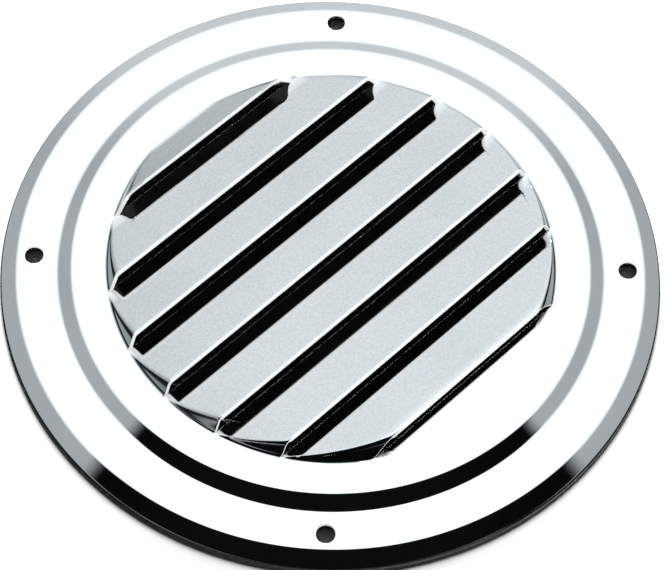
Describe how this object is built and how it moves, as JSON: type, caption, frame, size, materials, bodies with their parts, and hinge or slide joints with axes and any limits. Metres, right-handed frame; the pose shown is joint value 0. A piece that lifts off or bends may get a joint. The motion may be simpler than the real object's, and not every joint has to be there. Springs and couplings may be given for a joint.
{
  "type": "round louvred vent",
  "caption": "Round pressed stainless vent plate with a raised centre of hooded louvres, a rolled rim, an insect screen and a mounting gasket.",
  "frame": {"origin": "centre of the mounting plane, where the gasket's underside and the rim's edge meet the bulkhead", "axes": "+Z out of the bulkhead, +X along the louvres; the louvres open towards -Y, and the screw holes are on the diagonals"},
  "size_m": [0.127, 0.127, 0.0065],
  "materials": {
    "polished_stainless": "bright polished, with a fine satin grain on the louvre faces",
    "coated_mesh": "charcoal coated woven mesh",
    "plain_stainless": "mill finish",
    "black_gasket": "closed-cell foam rubber"
  },
  "bodies": {
    "root": {"louvred_cover": "polished_stainless", "insect_screen": "coated_mesh", "screen_retaining_ring": "plain_stainless", "flange_gasket": "black_gasket"}
  },
  "joints": []
}
